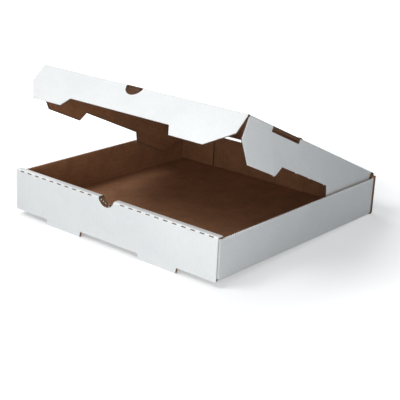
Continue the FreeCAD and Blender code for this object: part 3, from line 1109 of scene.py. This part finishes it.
    def rear_wall(self) -> Plies:
        """Rear wall up to the lid's crease, with its shoulders and two vent slots.

        Returns:
            Its plies.
        """
        points = [(self.half_depth - self.seam, self.floor), (self.half_depth, self.floor),
                  (self.half_depth, self.crease - self.setback)]
        span = (-self.half_width, self.half_width)
        fold = Fold("rear_wall", points, self.fold_radius, span, across_box, X)

        def cutters() -> list[Mesh]:
            """Shoulders beside the crease, and the vent slots below it."""
            near = self.half_depth - self.spare
            far = self.half_depth + self.spare
            vent = self.half_width - VENT.inset
            spans = ((self.neck, self.half_width + self.spare, self.shoulder),
                     (vent, vent - VENT.length, self.crease - VENT.drop))
            return [block((side * first, near, low), (side * last, far, self.crease + self.spare))
                    for side in (-1, 1) for first, last, low in spans]

        return fold.build(cutters)

    def side_wall(self, side: int) -> Plies:
        """Side wall with the two corner tabs that are folded in from its ends.

        Args:
            side: 1 for the right wall, -1 for the left one.

        Returns:
            Its plies.
        """
        end = self.half_width - BOARD.thickness - self.tab_reach
        near = self.side_half
        points = [(end, -near), (self.half_width, -near), (self.half_width, near), (end, near)]
        low = self.floor + self.fold_radius + self.fold_land

        def place(point: Pair, run: float) -> Vector:
            """Place of a point of the wall, with teeth along its upper edge."""
            gap = self.side_top - run
            is_toothed = gap < TEETH.reach and abs(point[1]) < near - self.fold_radius
            bite = TEETH.bite(point[1], gap) if is_toothed else 0.0
            return Vector((side * point[0], point[1], run - bite))

        fold = Fold(f"side_wall_{side + 1}", points, self.fold_radius, (low, self.side_top), place, Z,
                    raw_ends=(False, True), teeth=True, mirrored=side < 0)

        def cutters() -> list[Mesh]:
            """Lower and upper edges of the corner tabs."""
            inner = self.half_width - self.fold_radius - self.tab_root
            return [block((side * (end - self.spare), front, bottom), (side * inner, rear, top))
                    for front, rear in ((-near - self.slack, -near + self.spare),
                                        (near - self.spare, near + self.slack))
                    for bottom, top in ((low - self.slack, self.tab_low),
                                        (self.tab_high, self.side_top + self.slack))]

        return fold.build(cutters)

    def side_fold(self, side: int) -> Plies:
        """Bottom fold between the floor and a side wall.

        Args:
            side: 1 for the right fold, -1 for the left one.

        Returns:
            Its plies.
        """
        points = [(self.half_width - self.seam, self.floor), (self.half_width, self.floor),
                  (self.half_width, self.floor + self.fold_radius + self.fold_land)]
        fold = Fold(f"side_fold_{side + 1}", points, self.fold_radius,
                    (-self.side_half, self.half_depth - self.seam),
                    lambda point, run: Vector((side * point[0], run, point[1])), X, mirrored=side > 0)
        return fold.build()


def joint_named(name: str) -> dict:
    """Find the entry of a joint in the frame."""
    return next(joint for joint in frame["joints"] if joint["name"] == name)


def place_from(origin: Vector, across: Vector, face: Vector) -> Matrix:
    """Placement, in millimetres, of a panel whose own X runs across and whose own Z is its white face."""
    turned = Matrix((across, face.cross(across), face)).transposed().to_4x4()
    return Matrix.Translation(origin) @ turned


@dataclass
class Crease:
    """Round outer liner and dented inner liner of one crease between two bodies, drawn at its rest fold."""

    name: str
    parent: str
    child: str
    origin: Vector  # point of the crease, in millimetres
    run: Vector  # along the crease
    into: Vector  # from the crease into the parent panel
    face: Vector  # white face of the parent panel
    turn: float  # fold at rest, in radians
    spans: Sequence[Pair]
    outer_edge: float
    inner_edge: float
    dent: float = 0.5
    near_dent: float = 0.3  # share of the way out from the dent, where one more row of vertices bends
    steps: int = 14

    def build(self) -> None:
        """Make both strips."""
        beyond = -self.into * math.cos(self.turn) - self.face * math.sin(self.turn)
        child_face = self.face * math.cos(self.turn) - self.into * math.sin(self.turn)
        half = BOARD.half
        arc = []
        for step in range(self.steps + 1):
            angle = self.turn * step / self.steps
            arc.append((self.face * math.cos(angle) - self.into * math.sin(angle)) * half)
        outer = [self.face * half + self.into * self.outer_edge, *arc,
                 child_face * half + beyond * self.outer_edge]
        self.strip(Ply.OUTER, outer, arc[0], arc[-1])
        first = -self.face * half + self.into * self.inner_edge
        last = -child_face * half + beyond * self.inner_edge
        corner = (self.into + beyond).normalized() * self.dent
        inner = [first, corner.lerp(first, self.near_dent), corner, corner.lerp(last, self.near_dent), last]
        self.strip(Ply.INNER, inner, first, last)

    def strip(self, ply: Ply, line: Sequence[Vector], start: Vector, end: Vector) -> None:
        """Make one strip of liner along the crease.

        Args:
            ply: Outer or inner liner.
            line: Section of the strip, from the crease.
            start: Where the bend starts. Not used.
            end: Where it ends. Not used.
        """
        outside = self.face if ply is Ply.OUTER else -self.face
        flat = [(float(number), 0.0) for number in range(len(line))]
        pieces = []
        for span in self.spans:
            sheet = lay_sheet("strip", flat, span,
                              lambda point, run: self.origin + self.run * run + line[round(point[0])],
                              lambda column, run: 0.0)
            sheet.data.update()
            if sheet.data.polygons[0].normal.dot(outside) < 0:
                flip(sheet)
            give_papers(sheet, ply, X)
            finish_with(sheet, "SOLIDIFY", thickness=BOARD.liner, offset=-1.0, use_even_offset=True,
                        material_offset=1, material_offset_rim=1)
            seat(sheet, Matrix())
            pieces.append(sheet)
        whole = join(f"{self.name}_{ply.value}", pieces)
        smooth(whole, 50)
        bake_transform(whole)
        log.info("%s: %d faces", whole.name, len(whole.data.polygons))


@dataclass
class Lid:
    """Lid panel and its three tuck flaps, in millimetres, in the lid's own frame."""

    half: float = 151.2
    nose: float = 1.5
    edge: float = 0.6  # flat tongue of a crease strip beyond the round fold
    fold_setback: float = 1.79
    tuck_setback: float = 2.71
    flap_depth: float = 49.0
    flap_end: float = 26.0
    front_bevel: float = 24.5
    side_bevel: float = 28.0
    recess: float = 12.0
    recess_run: float = 7.6
    front_land: float = 46.0
    side_land: float = 57.0
    corner_clearance: float = 0.6
    rear_clearance: float = 6.0
    through: float = 4.0  # how far a tool reaches past the middle of a flap
    overshoot: float = 2.0  # how far the vent's tool reaches past the crease
    cut_gap: float = 0.3  # from the round fold to the perforation
    fold_rise: float = 0.9  # of the round fold over the crease's line, where the torn fibre stands
    origin: Vector = field(init=False)
    front: Vector = field(init=False)
    reach: float = field(init=False)
    along: Vector = field(init=False)
    face: Vector = field(init=False)
    front_fold: float = field(init=False)
    side_folds: dict[int, float] = field(init=False)

    def __post_init__(self) -> None:
        """Read the creases and the rest pose from the frame's joints."""
        self.origin = Vector(joint_named("lid_crease")["pos_m"]) / MM
        self.front = Vector(joint_named("front_flap_crease")["pos_m"]) / MM
        self.reach = (self.front - self.origin).length
        self.along = (self.origin - self.front).normalized()
        self.face = X.cross(self.along)
        self.front_fold = math.radians(-joint_named("front_flap_crease")["range_deg"][0])
        self.side_folds = {side: math.radians(90 - joint_named(f"{word}_flap_crease")["range_deg"][0])
                           for side, word in SIDES}

    @property
    def free(self) -> float:
        """Distance from a flap's crease to its free edge."""
        return self.flap_depth - self.nose

    @property
    def square(self) -> float:
        """Distance from a flap's crease to where its corners are bevelled."""
        return self.flap_end - self.nose

    @property
    def corner(self) -> float:
        """Distance from the lid's crease to the front of its front fold."""
        return self.reach + self.nose

    @property
    def vent_span(self) -> Pair:
        """Ends of a side vent on the lid's own Y axis."""
        start = VENT.inset - self.corner
        return start, start + VENT.length

    @property
    def flap_span(self) -> Pair:
        """Ends of a side flap on the lid's own Y axis."""
        return BOARD.thickness + self.corner_clearance - self.corner, -self.rear_clearance

    def build(self) -> None:
        """Make the lid panel, the flaps and the creases between them."""
        self.panel()
        self.front_flap()
        for side, word in SIDES:
            self.side_flap(side, word)
        self.creases()

    def outline(self, side: float, front: float, margin: float) -> list[Pair]:
        """Outline of the top panel, which reaches further out at the vents and the finger hole.

        Args:
            side: Half its width at the side folds.
            front: Place of the front fold.
            margin: Distance that the ends of the vents and the hole are moved together.

        Returns:
            Its corners.
        """
        rear = -self.fold_setback
        start = self.vent_span[0] + margin
        end = self.vent_span[1] - margin
        left, right = GRIP.ends(margin)
        flank = [(side, front), (side, start), (self.half, start),
                 (self.half, end), (side, end), (side, rear)]
        return [*flank, *[(-across, along) for across, along in reversed(flank)],
                (left, front), (left, -self.reach), (right, -self.reach), (right, front)]

    def panel(self) -> None:
        """Top panel of the lid."""
        outer = self.outline(self.half - self.edge, self.edge - self.reach, 0.0)
        inner = self.outline(self.half - self.tuck_setback, self.fold_setback - self.reach, self.nose)

        def perforation() -> list[Mesh]:
            """Perforation cuts just inside the side folds."""
            middle = self.half - self.nose - self.cut_gap
            bottom = BOARD.half - Panel.rim
            wide = PERFORATION.width / 2
            return [block((side * middle - wide, low, bottom), (side * middle + wide, high, BOARD.thickness))
                    for low, high in PERFORATION.cuts(-self.reach, self.reach, self.vent_span)
                    for side in (-1, 1)]

        place = place_from(self.origin, X, self.face)
        plies = Panel("lid", outer, place, inner).build(outer_cutters=perforation)
        carry("lid", "lid_panel", plies, *self.tufts(self.vent_span[1]))

    def tufts(self, end: float) -> list[Plies]:
        """Torn fibre on the right fold, where the vent's waste and the perforation's nicks let go.

        Args:
            end: Rear end of the vent slot.

        Returns:
            The torn bits by ply.
        """
        lean = Matrix.Rotation(math.radians(40), 4, "Y")
        top = self.origin + X * (self.half + self.fold_rise) + self.face * self.fold_rise
        fold = place_from(top, X, self.face) @ lean
        upright = fold @ Matrix.Rotation(math.radians(90), 4, "Y")
        bits = [
            (Ply.FLUTING, [(0.6, end - 4.5), (-0.4, end - 6), (-2.0, end + 0.5), (-0.6, end + 2.5)]),
            (Ply.FLUTING, [(0.8, end - 1), (-1.6, end + 3.2), (-0.5, end + 4.4), (0.8, end + 5.5)]),
            (Ply.INNER, [(1.0, end - 3), (-0.5, end - 1.2), (-1.0, end + 2.6), (0.9, end + 2.0)]),
        ]
        for nick in (-142.0, -91.0, -33.0):
            bits.append((Ply.OUTER, [(0.8, nick - 1.6), (-0.9, nick - 0.9), (-0.3, nick), (-1.2, nick + 0.7),
                                     (0.8, nick + 1.5)]))
            bits.append((Ply.FLUTING, [(0.8, nick + 1.2), (-0.7, nick + 2.0), (0.8, nick + 2.6)]))
        return [torn_bit(f"tuft_{number}", ply, outline[::-1], BOARD.liner, upright)
                for number, (ply, outline) in enumerate(bits)]

    def front_flap(self) -> None:
        """Front flap with its recess and the finger hole, drawn from its crease towards -Y."""
        half = self.half + self.nose
        low = half - self.front_bevel
        recess = low - self.front_land
        steps = [(low, self.free), (recess, self.free), (recess - self.recess_run, self.free - self.recess)]
        tail = [(-half, -self.square), *[(GRIP.offset - across, -down) for across, down in steps],
                *[(GRIP.offset + across, -down) for across, down in reversed(steps)], (half, -self.square)]
        outlines = [tail + [(half, -setback), (-half, -setback)]
                    for setback in (self.edge, self.fold_setback)]

        def hole() -> list[Mesh]:
            """Finger hole that opens into the crease."""
            return [punch("hole", GRIP.centre(-self.nose), -self.through, self.through)]

        place = place_from(self.front, X, self.face) @ Matrix.Rotation(self.front_fold, 4, "X")
        panel = Panel("front_flap", outlines[0], place, outlines[1],
                      is_free=lambda middle: middle.y < -self.tuck_setback)
        carry("front_flap", "lid_front_flap", panel.build(hole))

    def side_flap(self, side: int, word: str) -> None:
        """Side flap with its recess and the vent slot, drawn from its crease outwards along X.

        Args:
            side: 1 for the right flap, -1 for the left one.
            word: Name of the side.
        """
        front, rear = self.flap_span
        front_low = self.side_bevel - self.corner
        rear_low = rear - self.side_bevel
        front_recess = front_low + self.side_land
        rear_recess = rear_low - self.side_land
        middle = self.free - self.recess
        tail = [(self.square, front), (self.free, front_low), (self.free, front_recess),
                (middle, front_recess + self.recess_run), (middle, rear_recess - self.recess_run),
                (self.free, rear_recess), (self.free, rear_low), (self.square, rear)]
        outlines = []
        for setback in (self.edge, self.tuck_setback):
            points = [(side * out, along) for out, along in [(setback, front), *tail, (setback, rear)]]
            outlines.append(points if side > 0 else points[::-1])

        def slot() -> list[Mesh]:
            """Vent slot that opens into the crease."""
            start, end = self.vent_span
            return [block((-side * self.overshoot, start, -self.through),
                          (side * VENT.drop, end, self.through))]

        turn = Matrix.Rotation(side * self.side_folds[side], 4, "Y")
        place = place_from(self.origin + X * side * self.half, X, self.face) @ turn
        panel = Panel(f"{word}_flap", outlines[0], place, outlines[1],
                      is_free=lambda middle: abs(middle.x) > self.tuck_setback + 1,
                      nicks=((2, 54.0), (4, 31.0), (4, 61.0), (4, 96.0)) if side > 0 else ())
        carry(f"{word}_flap", f"lid_{word}_flap", panel.build(slot))

    def creases(self) -> None:
        """Strips of liner at each crease of the lid."""
        start, end = self.vent_span
        front, rear = self.flap_span
        left, right = GRIP.ends()
        neck = self.half + self.nose
        near = Tray.half_width - VENT.inset
        far = near - VENT.length
        Crease("front_crease", "lid", "front_flap", self.front, X, self.along, self.face, self.front_fold,
               [(-neck, left), (right, neck)], self.edge, self.fold_setback).build()
        for side, word in SIDES:
            Crease(f"{word}_crease", "lid", f"{word}_flap", self.origin + X * side * self.half, self.along,
                   X * -side, self.face, self.side_folds[side], [(front, start), (end, rear)], self.edge,
                   self.tuck_setback).build()
        turn = math.acos(max(-1.0, min(1.0, self.face.dot(Y))))
        Crease("rear_crease", "tray", "lid", self.origin, X, -Z, Y, turn,
               [(-neck, -near), (-far, far), (near, neck)], self.fold_setback, self.fold_setback).build()


@dataclass(frozen=True)
class Lamp:
    """Square soft lamp that faces the box."""

    name: str
    place: tuple[float, float, float]  # metres
    size: float  # metres
    power: float  # watts
    aim: tuple[float, float, float] = (0, 0, 0.06)  # metres

    def hang(self) -> None:
        """Hang the lamp, where the camera doesn't see it."""
        lamp = added(self.name, bpy.ops.object.light_add, type="AREA", location=self.place)
        lamp.data.size = self.size
        lamp.data.energy = self.power
        lamp.visible_camera = False
        lamp.rotation_euler = (Vector(self.aim) - Vector(self.place)).to_track_quat("-Z", "Y").to_euler()


LAMPS = (
    Lamp("top_softbox", (-0.66, -1.05, 1.5), 0.9, 18.4),
    Lamp("front_softbox", (0.66, -1.1, 0.42), 0.7, 1.4),
    Lamp("low_softbox", (0.52, -0.72, 0.22), 0.4, 2.1),
    Lamp("rear_softbox", (-1.0, 0.5, 1.25), 0.8, 5.4),
)


@dataclass
class Studio:
    """Pale floor, soft lamps and the camera at the photograph's angle, in millimetres and degrees."""

    foot_rise: float = 6.8
    depth: float = 312.0
    sole_gap: float = 0.1
    shadow_reach: float = 0.22  # metres from the box's middle to where the floor starts to turn white
    white_reach: float = 0.5  # metres, to where it is all white
    near_glow: float = 0.35
    camera_place: tuple[float, float, float] = (761.0, -940.5, 440.6)
    azimuth: float = 39.99
    elevation: float = 19.19
    roll: float = -2.52
    focal_px: float = 1039.2
    frame_px: float = 400.0
    shift_px: float = 20.1
    sensor: float = 36.0

    def build(self) -> None:
        """Set up the whole studio."""
        self.lay_floor()
        self.light_world()
        for lamp in LAMPS:
            lamp.hang()
        self.set_camera()
        bpy.context.scene.view_settings.view_transform = "Standard"

    def lay_floor(self) -> None:
        """Pale floor that the two feet and the rear bottom edge stand on."""
        floor = added("floor", bpy.ops.mesh.primitive_plane_add, size=8)
        slope = Matrix.Rotation(math.atan2(self.foot_rise, self.depth), 4, "X")
        floor.data.transform(Matrix.Translation((0, -self.depth / 2 * MM, -self.sole_gap * MM)) @ slope)
        material = bpy.data.materials.new("pale_floor")
        node = partial(add_node, bare_tree(material))
        paint = node("BsdfDiffuse", {"Color": linear("#D2D5D8")})
        seen = node("LightPath", {}, "Is Camera Ray")
        reach = node("VectorMath", {0: node("TexCoord", {}, "Object")}, "Value", operation="LENGTH")
        # The floor is evenly white further out, and takes the shadow where the box stands.
        glow = node("MapRange", {"Value": reach, "From Min": self.shadow_reach, "From Max": self.white_reach,
                                 "To Min": self.near_glow, "To Max": 1.0}, interpolation_type="SMOOTHSTEP")
        lit = node("BsdfDiffuse", {"Color": linear("#E6E6E6")})
        white = node("Emission", {"Strength": glow})
        both = node("AddShader", {0: lit, 1: white})
        mixed = node("MixShader", {0: seen, 1: paint, 2: both})
        # From below, the floor lets the underside of the box be seen.
        below = node("NewGeometry", {}, "Backfacing")
        clear = node("BsdfTransparent", {})
        node("OutputMaterial", {"Surface": node("MixShader", {0: below, 1: mixed, 2: clear})})
        floor.data.materials.append(material)

    def light_world(self) -> None:
        """Even grey light all round, and plain white behind the object."""
        world = bpy.data.worlds.new("studio")
        bpy.context.scene.world = world
        node = partial(add_node, bare_tree(world))
        seen, mirrored = [node("LightPath", {}, f"Is {kind} Ray") for kind in ("Camera", "Glossy")]
        shown = node("Math", {0: seen, 1: mirrored}, operation="MAXIMUM")
        fill = node("Background", {"Color": linear("#EBF1F6"), "Strength": 0.26})
        white = node("Background", {"Color": linear("#FFFFFF"), "Strength": 1.0})
        node("OutputWorld", {"Surface": node("MixShader", {0: shown, 1: fill, 2: white})})

    def set_camera(self) -> None:
        """Put the camera where the photograph was taken from."""
        around = math.radians(self.azimuth)
        down = math.radians(self.elevation)
        roll = math.radians(self.roll)
        ahead = Vector((-math.sin(around) * math.cos(down), math.cos(around) * math.cos(down),
                        -math.sin(down)))
        level = ahead.cross(Z).normalized()
        below = ahead.cross(level)
        right = level * math.cos(roll) + below * math.sin(roll)
        up = level * math.sin(roll) - below * math.cos(roll)
        data = bpy.data.cameras.new("camera")
        camera = bpy.data.objects.new("camera", data)
        bpy.context.scene.collection.objects.link(camera)
        turned = Matrix((right, up, -ahead)).transposed().to_4x4()
        camera.matrix_world = Matrix.Translation(Vector(self.camera_place) * MM) @ turned
        data.sensor_width = self.sensor
        data.lens = self.focal_px * self.sensor / self.frame_px
        data.shift_x = self.shift_px / self.frame_px
        data.clip_start = 0.05
        data.clip_end = 20.0
        bpy.context.scene.camera = camera


def main() -> None:
    """Build the box and its studio, and note the size of what is shown."""
    logging.basicConfig(level=logging.INFO, format="%(name)s: %(message)s")
    Tray().build()
    Lid().build()
    Studio().build()


if __name__ == "__main__":
    main()
